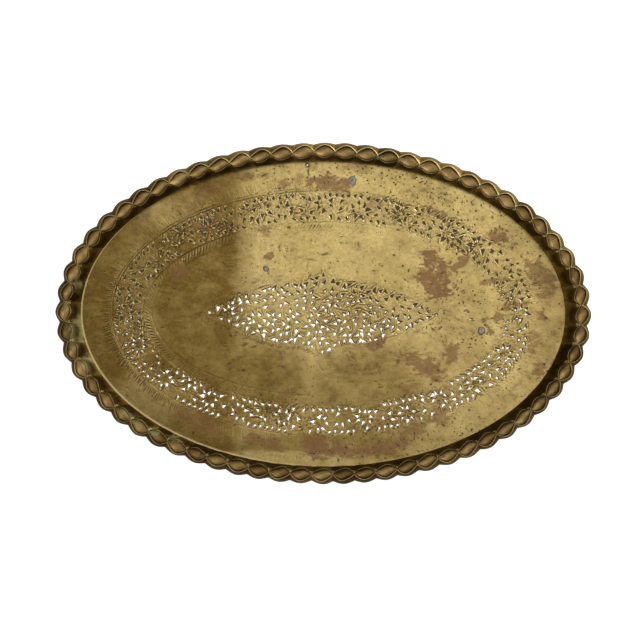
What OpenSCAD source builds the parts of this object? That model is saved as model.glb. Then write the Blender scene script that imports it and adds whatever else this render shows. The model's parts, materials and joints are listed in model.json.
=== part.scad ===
// Oval pierced tray with a pie-crust rim, raised from one sheet of brass.
// The sheet is split into its working zones, which meet face to face along the
// engraved lines and ridges. X is the length, Y the width, Z up from the resting face.

/* [Tray] */
// Overall length over the crests of the lobes
tray_length = 720; // [640:10:800]
// Overall width over the crests of the lobes
tray_width = 460; // [430:10:500]
// Depth from the resting face to the top of the rim
tray_depth = 26; // [20:1:36]
// Thickness of the sheet
sheet_t = 1.2; // [0.8:0.1:1.6]

/* [Floor] */
// Gap between the rim's crests and the edge of the floor, at the two ends
floor_inset_x = 33; // [30:1:40]
// The same gap at the two long sides
floor_inset_y = 23.5; // [23:0.5:30]
// Height of the small bend between the floor and the wall
foot_bend = 4; // [3:0.5:6]

/* [Pie-crust rim] */
// Number of dished lobes round the rim
lobes = 64; // [56:2:72]
// Depth of each lobe's dish below its ridges
dish_depth = 4.5; // [2:0.5:6]
// Distance from the crests in to the pinch between two lobes
pinch_inset = 14.5; // [13:0.5:16]
// Distance from the crests in to a lobe's inner ridge
eye_inset = 21; // [19:0.5:22]
// Distance from the crests in to a lobe's outer ridge
ridge_inset = 5.5; // [4:0.5:7]
// How far the outline steps in between two lobes
scallop = 5; // [3:0.5:6]
// How far the turned edge hangs below the ridges
edge_drop = 8; // [5:0.5:10]

/* [Pierced border] */
// Half length of the border's outer line
border_out_x = 286; // [276:1:290]
// Half width of the border's outer line
border_out_y = 166; // [158:1:170]
// Width of the border
border_w = 42; // [38:1:46]
// Number of rosettes round the border
rosettes = 24; // [20:2:26]
// Pierced petals round each rosette
petals = 9; // [6:1:10]

/* [Pierced medallion] */
// Half length of the medallion, tip to centre
medallion_x = 160; // [150:2:170]
// Half width of the medallion at its cusps
medallion_y = 58; // [52:1:64]
// Half width at the shoulders beside the cusps
shoulder_y = 42; // [38:1:46]
// Distance of the shoulders from the centre line
shoulder_x = 34; // [28:1:44]

/* [Piercing] */
// Length of a pierced tear
tear_l = 6.4; // [5:0.2:7]
// Width of a pierced tear at its round end
tear_w = 4; // [3:0.2:4.6]

/* [Repairs] */
// Diameter of the large solder plug near the border
plug_large_d = 10.4; // [8:0.2:12]
// Diameter of the domed plug in the right of the field
plug_right_d = 9; // [7:0.2:11]
// Diameter of the small plug in the left of the field
plug_left_d = 7; // [5:0.2:8]
// Height of a plug's head above the floor
plug_head = 0.8; // [0.4:0.1:1.2]
// Diameter of the hanging hole
hang_d = 4; // [3:0.5:5]

/* [Hidden] */

brass = [0.71, 0.61, 0.38];
dark_brass = [0.45, 0.37, 0.20];
solder = [0.56, 0.56, 0.54];

out_x = tray_length / 2;
out_y = tray_width / 2;
floor_x = out_x - floor_inset_x;
floor_y = out_y - floor_inset_y;
border_in_x = border_out_x - border_w;
border_in_y = border_out_y - border_w;
border_mid_x = border_out_x - border_w / 2;
border_mid_y = border_out_y - border_w / 2;

steps = 6;                  // stations along one lobe
stations = lobes * steps;
oval_sides = 192;           // sides of the engraved ovals
table_n = 360;              // steps of the arc-length tables
pinch_w = 1.2;              // half width of the sheet where two ridges meet
pinch_under = 0.3;          // step out of the underside below the inner ridge, at a pinch
eye_under = 0.7;            // how much more it steps out in the middle of a lobe
ridge_dip = 1.5;            // drop of the inner ridge below the outer one
pass = 1;                   // how far a cutter passes the sheet

plug_right = [214, -22];
plug_top = [38, 180];
plug_left = [-78, 60];
hang_at = [-23, floor_y - 6];

// Arc length along an ellipse, as pairs of length and angle for lookup()
function chord(a, b, i) =
    norm([a * (cos(i * 360 / table_n) - cos((i - 1) * 360 / table_n)),
          b * (sin(i * 360 / table_n) - sin((i - 1) * 360 / table_n))]);
function arc_table(a, b) =
    [for (i = 0, s = 0; i <= table_n; i = i + 1, s = s + chord(a, b, i)) [s, i * 360 / table_n]];
function total(table) = table[table_n][0];
// Angle on the ellipse after the given share of its perimeter
function angle_at(table, share) = lookup(share * total(table), table);

// A point on an ellipse, moved in along its normal
function oval(a, b, t, inset = 0) =
    let (n = [b * cos(t), a * sin(t)] / norm([b * cos(t), a * sin(t)]))
    [a * cos(t), b * sin(t)] - inset * n;
function oval_ring(a, b) = [for (i = [0 : oval_sides - 1]) oval(a, b, i * 360 / oval_sides)];

rim_table = arc_table(out_x, out_y);
border_table = arc_table(border_mid_x, border_mid_y);
rim_angles = [for (i = [0 : stations - 1]) angle_at(rim_table, i / stations)];

// How far a station lies from the pinch: 0 at the pinch, 1 at the middle of a lobe
function swell(i) = abs(cos(180 * i / steps));

// The upper face of the rim, column by column from the foot of the wall to the edge.
// Each column is [inset, z] at station i.
function rim_in(i) = [pinch_inset + pinch_w + (eye_inset - pinch_inset - pinch_w) * swell(i),
    tray_depth - ridge_dip * swell(i)];
function rim_out(i) = [pinch_inset - pinch_w - (pinch_inset - pinch_w - ridge_inset) * swell(i),
    tray_depth];
function dish(i, share) =
    [rim_in(i)[0] + (rim_out(i)[0] - rim_in(i)[0]) * share, tray_depth - dish_depth * swell(i)];
function edge_out(i) = [scallop * (1 - swell(i)), tray_depth - edge_drop];

function lift(p, z) = [p[0], p[1], z];
function rim_point(i, c) = lift(oval(out_x, out_y, rim_angles[i], c[0]), c[1]);
// The underside below the inner ridge, where the wall and the cells meet
function ridge_under(i) =
    rim_point(i, rim_in(i) - [pinch_under + eye_under * swell(i), sheet_t]);
// The edge of the floor at station i, at height z
function foot_point(i, z) = lift(oval(floor_x, floor_y, rim_angles[i]), z);
// A point part of the way up the wall
function wall_point(i, share, z) =
    let (low = oval(floor_x, floor_y, rim_angles[i]),
         high = oval(out_x, out_y, rim_angles[i], rim_in(i)[0]))
    lift(low + (high - low) * share, z);

// Closed band whose cross-section at each station is one loop of points
module ring_shell(loops) {
    m = len(loops[0]);
    n = len(loops);
    points = [for (l = loops) each l];
    faces = [for (i = [0 : n - 1], j = [0 : m - 1])
        let (k = (i + 1) % n, h = (j + 1) % m)
        each [[i * m + j, k * m + j, k * m + h], [i * m + j, k * m + h, i * m + h]]];
    polyhedron(points, faces);
}

// A teardrop cutter with its point at the origin's side, aimed along +X
module tear(l, w) {
    translate([0, 0, -pass])
        linear_extrude(sheet_t + 2 * pass)
            polygon([[-l / 2, 0], [l / 4, -w / 2], [l / 2, 0], [l / 4, w / 2]]);
}

module place(p, turn) {
    translate([p[0], p[1], 0]) rotate(turn) children();
}

// Straight hole through the sheet
module drill(p, d) {
    translate([p[0], p[1], -pass]) cylinder(h = sheet_t + 2 * pass, d = d, $fn = 48);
}

module flat_zone(outline) {
    linear_extrude(sheet_t) polygon(outline);
}

// Half width of the medallion at distance x from its middle: a cusp, a shoulder, then
// a curve that runs out to the tip
function medallion_half(x) =
    x < shoulder_x
    ? shoulder_y + (medallion_y - shoulder_y) * pow(1 - x / shoulder_x, 1.6)
    : shoulder_y * cos(90 * (x - shoulder_x) / (medallion_x - shoulder_x));
medallion_steps = 40;
function medallion_outline() =
    let (xs = [for (i = [-medallion_steps : medallion_steps]) medallion_x * i / medallion_steps])
    concat([for (x = xs) [x, medallion_half(abs(x))]],
        [for (i = [len(xs) - 2 : -1 : 1]) [xs[i], -medallion_half(abs(xs[i]))]]);

tear_pitch_x = 9.6;         // spacing of the medallion's sprays along X
tear_pitch_y = 8.4;         // and along Y
tear_margin = 7.5;          // bare metal left inside the medallion's line
// Tears fan out from the centre line in staggered rows
module medallion_tears() {
    rows = floor(medallion_y / tear_pitch_y);
    columns = floor(medallion_x / tear_pitch_x);
    for (r = [-rows : rows], c = [-columns : columns]) {
        x = (c + 0.5 * (abs(r) % 2)) * tear_pitch_x;
        y = r * tear_pitch_y;
        if (abs(x) < medallion_x - 2 * tear_margin && abs(y) < medallion_half(abs(x)) - tear_margin)
            place([x, y], atan2(y + 4, x) + 40 * (c % 3)) tear(tear_l, tear_w);
    }
}

module rosette_tears() {
    spread_r = border_w * 0.27;
    for (i = [0 : petals - 1])
        rotate(360 * i / petals) translate([spread_r, 0, 0]) tear(tear_l, tear_w);
}

edge_tears = 4;             // tears along each line of the border, per rosette
module border_tears() {
    for (k = [0 : rosettes - 1]) {
        t = angle_at(border_table, k / rosettes);
        turn = atan2(border_mid_x * sin(t), border_mid_y * cos(t));
        place(oval(border_mid_x, border_mid_y, t), turn) rosette_tears();
        for (e = [0 : edge_tears - 1]) {
            te = angle_at(border_table, (k + (e + 0.5) / edge_tears) / rosettes);
            aim = atan2(border_mid_x * sin(te), border_mid_y * cos(te));
            reach = border_w / 2 - 4;
            for (side = [-1, 1])
                place(oval(border_mid_x, border_mid_y, te, side * reach), aim + 60 * side)
                    tear(tear_l * 0.75, tear_w * 0.75);
        }
    }
}

module pierced_medallion() {
    color(brass) difference() {
        flat_zone(medallion_outline());
        medallion_tears();
    }
}

module plain_field() {
    color(brass) difference() {
        flat_zone(oval_ring(border_in_x, border_in_y));
        translate([0, 0, -pass])
            linear_extrude(sheet_t + 2 * pass) polygon(medallion_outline());
        drill(plug_right, plug_right_d);
        drill(plug_left, plug_left_d);
    }
}

module pierced_border() {
    color(brass) difference() {
        flat_zone(oval_ring(border_out_x, border_out_y));
        translate([0, 0, -pass])
            linear_extrude(sheet_t + 2 * pass) polygon(oval_ring(border_in_x, border_in_y));
        border_tears();
    }
}

module outer_margin() {
    floor_outline = [for (t = rim_angles) oval(floor_x, floor_y, t)];
    color(brass) difference() {
        flat_zone(floor_outline);
        translate([0, 0, -pass])
            linear_extrude(sheet_t + 2 * pass) polygon(oval_ring(border_out_x, border_out_y));
        drill(plug_top, plug_large_d);
        drill(hang_at, hang_d);
    }
}

bend_share = 0.12;          // how far out the foot bend reaches across the wall
module side_wall() {
    color(dark_brass) ring_shell([for (i = [0 : stations - 1]) [
        foot_point(i, 0),
        wall_point(i, bend_share, foot_bend) + lift(oval(1, 1, rim_angles[i], 0) * sheet_t, -sheet_t / 2),
        ridge_under(i),
        rim_point(i, rim_in(i)),
        wall_point(i, bend_share, foot_bend),
        foot_point(i, sheet_t)
    ]]);
}

module pie_crust_cells() {
    color(brass) ring_shell([for (i = [0 : stations - 1])
        let (top = [for (c = [rim_in(i), dish(i, 0.3), dish(i, 0.7), rim_out(i)]) rim_point(i, c)])
        concat([ridge_under(i)], [for (j = [1 : 3]) top[j] - [0, 0, sheet_t]],
            [for (j = [3 : -1 : 0]) top[j]])
    ]);
}

module turned_edge() {
    color(dark_brass) ring_shell([for (i = [0 : stations - 1]) [
        rim_point(i, rim_out(i)) - [0, 0, sheet_t],
        rim_point(i, edge_out(i) + [sheet_t, -sheet_t / 2]),
        rim_point(i, edge_out(i)),
        rim_point(i, rim_out(i))
    ]]);
}

// A plug of solder through the sheet with a low domed head on the upper face
module solder_plug(p, d) {
    crown_r = (d * d / 4 + plug_head * plug_head) / (2 * plug_head);
    color(solder) translate([p[0], p[1], 0]) {
        cylinder(h = sheet_t, d = d, $fn = 48);
        translate([0, 0, sheet_t]) intersection() {
            translate([0, 0, plug_head - crown_r]) sphere(r = crown_r, $fn = 96);
            cylinder(h = 2 * plug_head, d = d, $fn = 48);
        }
    }
}

pierced_medallion();
plain_field();
pierced_border();
outer_margin();
side_wall();
pie_crust_cells();
turned_edge();
solder_plug(plug_right, plug_right_d);  // solder_plug_right
solder_plug(plug_top, plug_large_d);  // solder_plug_top
solder_plug(plug_left, plug_left_d);  // solder_plug_left
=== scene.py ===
import json
import math
import random
from types import SimpleNamespace

import bpy
import numpy as np
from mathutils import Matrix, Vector
from mathutils.geometry import delaunay_2d_cdt
from mathutils.kdtree import KDTree


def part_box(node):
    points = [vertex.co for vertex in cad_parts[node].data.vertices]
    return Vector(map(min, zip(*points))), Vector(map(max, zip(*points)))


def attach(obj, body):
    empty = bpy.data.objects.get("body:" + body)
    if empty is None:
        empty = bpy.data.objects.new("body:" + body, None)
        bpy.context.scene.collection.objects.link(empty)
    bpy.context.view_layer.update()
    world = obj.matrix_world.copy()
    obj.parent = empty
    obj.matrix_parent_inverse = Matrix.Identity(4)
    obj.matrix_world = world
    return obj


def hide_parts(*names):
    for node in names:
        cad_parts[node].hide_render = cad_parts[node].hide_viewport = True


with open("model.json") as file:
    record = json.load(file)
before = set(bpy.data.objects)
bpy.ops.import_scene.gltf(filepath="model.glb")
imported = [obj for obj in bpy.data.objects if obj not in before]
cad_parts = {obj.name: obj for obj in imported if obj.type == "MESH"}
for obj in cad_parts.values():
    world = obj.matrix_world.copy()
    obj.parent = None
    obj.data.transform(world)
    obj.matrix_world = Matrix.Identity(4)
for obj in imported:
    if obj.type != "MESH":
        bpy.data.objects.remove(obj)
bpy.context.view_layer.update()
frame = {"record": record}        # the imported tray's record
mm = 0.001


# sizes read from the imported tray

def halfSize(node):
    low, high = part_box(node)
    return (high[0] - low[0]) / 2, (high[1] - low[1]) / 2


crestX, crestY = halfSize("turned_edge")
floorX, floorY = halfSize("outer_margin")
bandOutX, bandOutY = halfSize("pierced_border")
bandInX, bandInY = halfSize("plain_field")
medallionX, medallionY = halfSize("pierced_medallion")
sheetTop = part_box("outer_margin")[1][2]
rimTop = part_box("turned_edge")[1][2]
bandMidX, bandMidY = (bandOutX + bandInX) / 2, (bandOutY + bandInY) / 2


# ovals

def ovalTurns(halfX, halfY, shares):
    # the angles that lie at these shares of an oval's perimeter
    turn = np.linspace(0, 2 * math.pi, 4001)
    step = np.hypot(np.diff(halfX * np.cos(turn)), np.diff(halfY * np.sin(turn)))
    length = np.concatenate([[0], np.cumsum(step)])
    return np.interp(np.mod(shares, 1), length / length[-1], turn)


def ovalAt(halfX, halfY, turn, inset=0.0):
    outX, outY = halfY * np.cos(turn), halfX * np.sin(turn)
    size = np.hypot(outX, outY)
    return np.stack([halfX * np.cos(turn) - inset * outX / size,
                     halfY * np.sin(turn) - inset * outY / size], -1)


def ovalRing(halfX, halfY, count, inset=0.0):
    return ovalAt(halfX, halfY, ovalTurns(halfX, halfY, np.arange(count) / count), inset)


def insideOval(points, halfX, halfY):
    return (points[:, 0] / halfX) ** 2 + (points[:, 1] / halfY) ** 2 < 1


def newPiece(name, points, faces, nodes):
    mesh = bpy.data.meshes.new(name)
    mesh.from_pydata([tuple(p) for p in points], [], [tuple(f) for f in faces])
    mesh.polygons.foreach_set("use_smooth", [True] * len(mesh.polygons))
    piece = bpy.data.objects.new(name, mesh)
    bpy.context.scene.collection.objects.link(piece)
    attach(piece, "root")
    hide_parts(*nodes)
    print("made", name, len(points), "points", len(faces), "faces")
    return piece


def setMark(piece, name, values):
    # a number on every point, which the finishes read as wear, grime, tone and the like, with the
    # painted light and shade that some of them carry
    mark = piece.data.attributes.new(name, "FLOAT", "POINT")
    mark.data.foreach_set("value", np.asarray(values, np.float32))


# old stains on the floor: where (mm), half sizes (mm), turn (degrees), strength
stains = [
    ((139, 48), (11, 25), 8, 1.0), ((158, 58), (9, 27), 12, 1.0), ((155, 33), (24, 9), 4, 1.0),
    ((147, 80), (8, 11), 0, 0.95), ((148, 50), (12, 16), 0, 1.0), ((185, 70), (18, 6), 48, 0.8),
    ((233, 106), (14, 9), 20, 0.85),
    ((289, 60), (33, 14), -47, 0.62), ((227, 45), (23, 5), 8, 0.7), ((263, 15), (21, 6), 14, 0.75),
    ((300, 28), (11, 6), 0, 0.7), ((294, 0), (8, 8), 0, 0.7), ((235, -4), (10, 7), 30, 0.8),
    ((151, 137), (24, 7), -24, 0.7), ((70, 150), (20, 9), 24, 0.5), ((6, 175), (36, 10), 2, 0.85),
    ((-52, 176), (8, 7), 20, 0.7),
    ((122, 185), (6, 5), 0, 0.7), ((43, 196), (22, 8), 0, 0.35), ((-160, 160), (24, 10), 24, 0.5),
    ((-182, 146), (8, 20), 0, 0.4), ((-103, 185), (13, 5), 30, 0.7), ((-34, 183), (6, 11), 0, 0.45),
    ((-160, 118), (13, 12), 30, 0.5), ((-80, 111), (8, 8), 0, 0.6), ((-112, 117), (12, 6), 20, 0.5),
    ((-197, 56), (10, 12), 20, 0.6), ((-74, 78), (8, 5), 10, 0.9), ((133, -71), (30, 13), -20, 0.8),
    ((175, -55), (10, 13), 0, 0.7), ((71, -40), (13, 7), 15, 1.0), ((125, -155), (15, 9), 0, 0.7),
    ((158, -138), (14, 9), 20, 0.6), ((226, -21), (12, 4), -52, 0.9), ((282, -33), (12, 15), 0, 0.5),
    ((292, -74), (8, 8), 0, 0.7), ((36, -186), (60, 9), 2, 0.85), ((-170, -145), (46, 14), -30, 0.5),
    ((-79, -174), (28, 8), -8, 0.8), ((-8, -180), (20, 14), 0, 0.95), ((92, -176), (26, 8), 6, 0.8),
    ((-57, -59), (4, 8), 0, 1.0),
    ((-53, -74), (11, 2), -42, 1.0), ((-52, -106), (11, 3), -45, 0.9), ((-18, 52), (2.5, 6), -20, 0.9),
]
# pale green deposits at the foot of the wall, in the same terms
deposits = [
    ((-329, -28), (9, 24), 4, 1), ((-317, -72), (8, 18), 12, 0.8), ((-262, -138), (22, 7), -33, 0.8),
    ((-225, -160), (10, 7), -30, 1), ((-196, -170), (16, 5), -20, 0.7), ((-331, 40), (5, 16), 0, 0.6),
]
# where the floor is pitted, in the same terms
pitted = [
    ((150, 150), (170, 60), -14, 1), ((255, 60), (60, 90), 0, 0.8), ((60, 190), (170, 26), 0, 1),
    ((120, -165), (190, 40), 8, 0.8), ((200, 0), (90, 80), 0, 0.6), ((-40, 160), (90, 40), 0, 0.5),
]
# slow changes of tone, darker and then paler, partly the metal's tone and partly painted reflection,
# painted shadow and painted highlight: where (mm), half sizes (mm), strength
dullAndDimAreas = [
    ((62, -112), (110, 95), 0.62), ((40, -25), (85, 60), 0.25), ((165, -80), (70, 60), 0.33),
    ((290, 20), (70, 150), 0.4), ((200, 0), (80, 90), 0.28), ((-90, -95), (90, 70), 0.8),
    ((20, -178), (200, 22), 0.75), ((230, -140), (110, 60), 0.22), ((110, 75), (60, 45), 0.22),
]
paleAndLitAreas = [
    ((-240, -118), (60, 40), 0.35), ((-60, -194), (90, 9), 0.7), ((258, 0), (36, 120), 0.3),
    ((-252, 10), (32, 110), 0.22), ((140, -182), (60, 12), 0.4), ((-215, 138), (60, 28), 0.4),
    ((-20, 190), (60, 14), 0.12),
]
paintedDarkEnd = (-88 * mm, -128 * mm)        # the left end is painted olive, a painted darker reflection: where that starts and is full


def foldWearAndHighlight(points):
    # the fold at the foot of the wall is made bright along the left and the lower left, where it faces
    # the light: partly rubbing, partly a painted highlight
    x, y = points[:, 0] / floorX, points[:, 1] / floorY
    width = 0.003 + 0.006 * np.clip(-1.5 * y, 0, 1)     # in shares of the floor's size
    near = np.exp(-((1 - np.hypot(x, y)) / width) ** 2)
    return near * np.clip(0.05 - 0.95 * x - 0.55 * y, 0, 1)


def footDirtAndShade(points):
    # darker along the foot of the wall: dirt, and a painted shadow that the wall casts, thickest at the
    # top
    x, y = points[:, 0] / floorX, points[:, 1] / floorY
    return 0.95 * np.exp(-((1 - np.hypot(x, y)) / 0.012) ** 2) * np.clip(0.1 + 0.9 * y, 0, 1)


def ellipseField(points, where, size, turn=0):
    # 1 in the middle of an ellipse, 0 on its edge, and less outside
    x, y = (points - np.array(where) * mm).T
    c, s = math.cos(math.radians(turn)), math.sin(math.radians(turn))
    return 1 - np.hypot((x * c + y * s) / (size[0] * mm), (y * c - x * s) / (size[1] * mm))


def areaField(areas, points):
    # the deepest that each point lies in any of the areas, and that area's strength
    field, strength = np.full(len(points), -2.0), np.zeros(len(points))
    for where, size, turn, force in areas:
        here = ellipseField(points, where, size, turn)
        strength = np.where(here > field, force, strength)
        field = np.maximum(field, here)
    return field, strength


def dullnessAndReflection(points):
    dullAndPaintedLight = 0.9 * np.clip((paintedDarkEnd[0] - points[:, 0]) / (paintedDarkEnd[0] - paintedDarkEnd[1]), 0, 1)
    for where, size, force in dullAndDimAreas:
        dullAndPaintedLight = np.maximum(dullAndPaintedLight, force * np.clip(1.6 * ellipseField(points, where, size) + 0.3, 0, 1))
    for where, size, force in paleAndLitAreas:
        dullAndPaintedLight = dullAndPaintedLight - force * np.clip(1.6 * ellipseField(points, where, size) + 0.2, 0, 1)
    return dullAndPaintedLight


# the rim: one swept sheet from the foot of the wall to the rolled lip

rim = {
    "lobes": 64,
    "perLobe": 24,              # stations along one lobe
    "pinchInset": 14.5 * mm,    # crests to the pinch between two lobes
    "eyeInset": 21.5 * mm,      # crests to a lobe's inner ridge
    "ridgeInset": 5.5 * mm,     # crests to its outer ridge
    "scallop": 3.6 * mm,        # how far the outline steps in at a pinch
    "scallopEnds": 0.35,        # share by which it is deeper at the two ends
    "scallopTop": 0.45,         # share by which it is shallower along the top
    "pinchWidth": 0.5 * mm,     # half width left where two ridges meet
    "footBend": 5.0 * mm,       # run of the bend between floor and wall
    "wallSteps": 18,            # columns of points from the foot to the inner ridge
    "cellSteps": 31,            # columns across a lobe
    "edgeSteps": 13,            # columns from the outer ridge to the lip
    "innerDip": 1.5 * mm,       # drop of the inner ridge in mid lobe
    "dish": 4.8 * mm,
    "bead": 0.45 * mm,          # how far the ridges stand up
    "edgeDrop": 8.0 * mm,
    "lip": 1.6 * mm,
    "crease": 1.1 * mm,         # small folds below each pinch
    "sheet": 1.1 * mm,
    "uneven": 0.08,             # hand-made differences between lobes
    "pinchStray": 0.5 * mm,     # how far the pinches stray from an even line
    "edgeStray": 0.35 * mm,     # how far the outline and the crests stray at each pinch
    "toneSpread": 0.2,          # differences of tone between lobes
    "twist": 0.1,               # rope-like lean of the lobes
    "seed": 11,
}


def rimCourse(r):
    # what changes along the rim: where each lobe's two ridges run, how high, and how deep it dips
    dice = np.random.default_rng(r["seed"])
    lobes = r["lobes"]
    count = lobes * r["perLobe"]
    share = np.arange(count) / count
    turn = ovalTurns(crestX, crestY, share)
    along = share * lobes
    lobe = np.floor(along + 0.5).astype(int) % lobes
    u = along - np.floor(along + 0.5)       # 0 in mid lobe, -0.5 and 0.5 at its pinches

    def perLobe(spread):
        return dice.normal(0, spread, lobes)[lobe]

    def perPinch(spread):
        knots = dice.normal(0, spread, lobes)
        return knots[lobe - 1] * (0.5 - u) + knots[lobe] * (0.5 + u)

    lean = r["twist"] * (np.cos(2 * turn - 0.9) + perLobe(0.3)) * np.cos(np.pi * u)
    swellIn = np.clip(np.cos(np.pi * (u + lean)), 0, 1) ** 0.85
    swellOut = np.clip(np.cos(np.pi * (u - lean)), 0, 1) ** 0.85
    swell = np.cos(np.pi * u)
    pinch = r["pinchInset"] + perPinch(r["pinchStray"])
    inner = pinch + r["pinchWidth"] + (r["eyeInset"] - r["pinchInset"]) * swellIn * (
        1 + perLobe(r["uneven"]))
    outer = pinch - r["pinchWidth"] - (r["pinchInset"] - r["ridgeInset"]) * swellOut * (
        1 + perLobe(r["uneven"] * 0.6))
    scallop = r["scallop"] * (1 + r["scallopEnds"] * np.cos(turn) ** 2
                              - r["scallopTop"] * np.clip(np.sin(turn), 0, 1) ** 2)
    edge = scallop * (1 - np.clip(swell, 0, 1) ** 1.1) + np.abs(perPinch(r["edgeStray"]))
    top = rimTop - 0.6 * mm - np.abs(perPinch(r["edgeStray"]))
    dish = r["dish"] * np.clip(swell, 0, 1) ** 1.1 * (1 + perLobe(r["uneven"]))
    return SimpleNamespace(
        turn=turn, u=u, swell=swell, inner=inner, outer=outer, edge=edge, top=top,
        innerTop=top - r["innerDip"] * swellIn, dish=dish, tone=perLobe(r["toneSpread"]),
        leftness=np.clip(-np.cos(turn), 0, 1), topness=np.clip(np.sin(turn), 0, 1))


def column(points, z, wearAndSheen, grime, shade=0.0):
    # one line of points that runs all round the rim, with its marks
    return np.column_stack([points, z]), wearAndSheen, grime, shade


def wallColumns(r, c):
    # out from the floor in a small bend, then up to the inner ridge
    foot = ovalAt(floorX, floorY, c.turn)
    ridge = ovalAt(crestX, crestY, c.turn, c.inner)
    run = ridge - foot
    reach = np.linalg.norm(run, axis=1, keepdims=True)
    out = run / reach
    bend = np.minimum(reach * 0.8, r["footBend"])
    fold = r["crease"] * np.exp(-((np.abs(c.u) - 0.5) / 0.06) ** 2)
    nearPinch = np.exp(-((np.abs(c.u) - 0.46) / 0.04) ** 2)
    columns = []
    for w in 1 - (1 - np.arange(r["wallSteps"]) / r["wallSteps"]) ** 1.5:
        # the four shares of a bend that leaves flat and arrives steep
        a, b, c1, d = (1 - w) ** 3, 3 * w * (1 - w) ** 2, 3 * w * w * (1 - w), w ** 3
        points = (a * foot + b * (foot + out * bend) + c1 * (ridge - 0.12 * run) + d * ridge
                  - out * (fold * w * w * (1.2 - w) * 3)[:, None])
        z = (a + b) * sheetTop + c1 * (sheetTop + 0.62 * (c.innerTop - sheetTop)) + d * c.innerTop
        # painted shade: the wall is darker under each lobe and near its foot along the right and the
        # top, which face away from the light; the glint is a painted highlight just below each pinch
        grime = (0.28 + 0.6 * np.exp(-((w - 0.55) / 0.25) ** 2) * np.clip(1.3 * c.swell, 0, 1)
                 + 0.22 * np.exp(-(w / 0.3) ** 2) * np.clip(0.5 + np.cos(c.turn) + np.sin(c.turn), 0, 1))
        glint = 1.3 * np.exp(-((w - 0.82) / 0.09) ** 2) * nearPinch
        wearAndSheen = foldWearAndHighlight(points) * math.exp(-(w / 0.04) ** 2) + glint + 0.5 * w ** 16
        columns.append(column(points, z, wearAndSheen, grime))
    return columns


def cellColumns(r, c):
    # spoon-shaped dishes between the two ridges, which stand up as beads
    columns = []
    for x in np.sin(np.linspace(-1, 1, r["cellSteps"]) * np.pi / 2):
        side = (x + 1) / 2
        inset = c.inner + (c.outer - c.inner) * side
        level = c.innerTop + (c.top - c.innerTop) * side
        bowl = c.dish * (1 - abs(x) ** 2.4)
        bead = r["bead"] * abs(x) ** 30
        # the ridges are rubbed bright, with a painted highlight on the side that faces the light at the
        # left end; the dish is painted darker toward its ridges and at the pinches, as shade; shade
        # paints each dish's own shading, lighter in the middle and darker on one side, into its tone
        wearAndSheen = abs(x) ** 22 * (0.95 - 0.2 * np.sign(x) - 0.35 * np.sign(x) * c.leftness)
        grime = np.clip(1.6 * abs(x) ** 4 * (1 - abs(x) ** 14) + 0.45 * (1 - c.swell), 0, 1)
        shade = 0.8 * abs(x) ** 2 - 0.4 * c.swell * (1 - x * x) + 0.3 * x * np.sin(c.turn)
        columns.append(column(ovalAt(crestX, crestY, c.turn, inset), level - bowl + bead,
                              wearAndSheen, grime, shade))
    return columns


def edgeColumns(r, c):
    # down the outside of the outer ridge, and round the rolled lip
    columns = []
    # the outside of the outer ridge: real rubbing, with a painted highlight along the top and less at
    # the left end, and painted shade that darkens it toward the lip, least along the top
    rubbedAndLit = 0.35 + 0.4 * c.topness - 0.25 * c.leftness
    for w in (np.arange(1, r["edgeSteps"] + 1) / r["edgeSteps"]) ** 1.4:
        inset = c.outer + (c.edge - c.outer) * (w ** 0.85)
        z = c.top - r["edgeDrop"] * (0.35 * w + 0.65 * w * w)
        columns.append(column(ovalAt(crestX, crestY, c.turn, inset), z,
                              rubbedAndLit * (1 - w) ** 8 + 0.45 * w ** 6, 0.15 + 0.4 * w - 0.3 * c.topness))
    for w in (0.25, 0.5, 0.75, 1):
        a = w * np.pi
        columns.append(column(ovalAt(crestX, crestY, c.turn, c.edge + r["lip"] / 2 * (1 - np.cos(a))),
                              c.top - r["edgeDrop"] - r["lip"] / 2 * np.sin(a), 0.2, 0.6))
    return columns


def sweepRim(r):
    c = rimCourse(r)
    columns = wallColumns(r, c) + cellColumns(r, c) + edgeColumns(r, c)
    grid = np.stack([points for points, *_ in columns], 1)
    for _ in range(2):      # rounds the crests a little, as hammered metal is
        grid[:, 1:-1] = (grid[:, :-2] + 2 * grid[:, 1:-1] + grid[:, 2:]) / 4
    alongRim = np.roll(grid, -1, 0) - np.roll(grid, 1, 0)
    across = np.gradient(grid, axis=1)
    normals = np.cross(across, alongRim)
    normals /= np.linalg.norm(normals, axis=2, keepdims=True)
    normals[:, 0] = (0, 0, 1)
    wearAndSheen, grime, shade = (np.stack([np.broadcast_to(marks[i], len(grid)) for _, *marks in columns], 1)
                          for i in range(3))
    # every cell has its own tone; those along the top are painted palest, a painted highlight, and the
    # shade column paints each dish's shading into its tone
    dullAndPaintedLight = (0.2 - 0.3 * np.sin(c.turn) + c.tone)[:, None] + shade
    # painted shade: the turned edge is darker toward the left end, which faces away from the light
    grime[:, cellEnd:] += 0.6 * c.leftness[:, None]
    return grid, normals, wearAndSheen, grime, dullAndPaintedLight


def underRim(grid, normals, thick):
    soft = normals.copy()
    for _ in range(6):
        soft[:, 1:-1] = (soft[:, :-2] + soft[:, 1:-1] + soft[:, 2:]) / 3
        soft = (np.roll(soft, 1, 0) + soft + np.roll(soft, -1, 0)) / 3
    soft[:, 0] = (0, 0, 1)
    soft /= np.linalg.norm(soft, axis=2, keepdims=True)
    return grid - soft * thick, -soft


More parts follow.
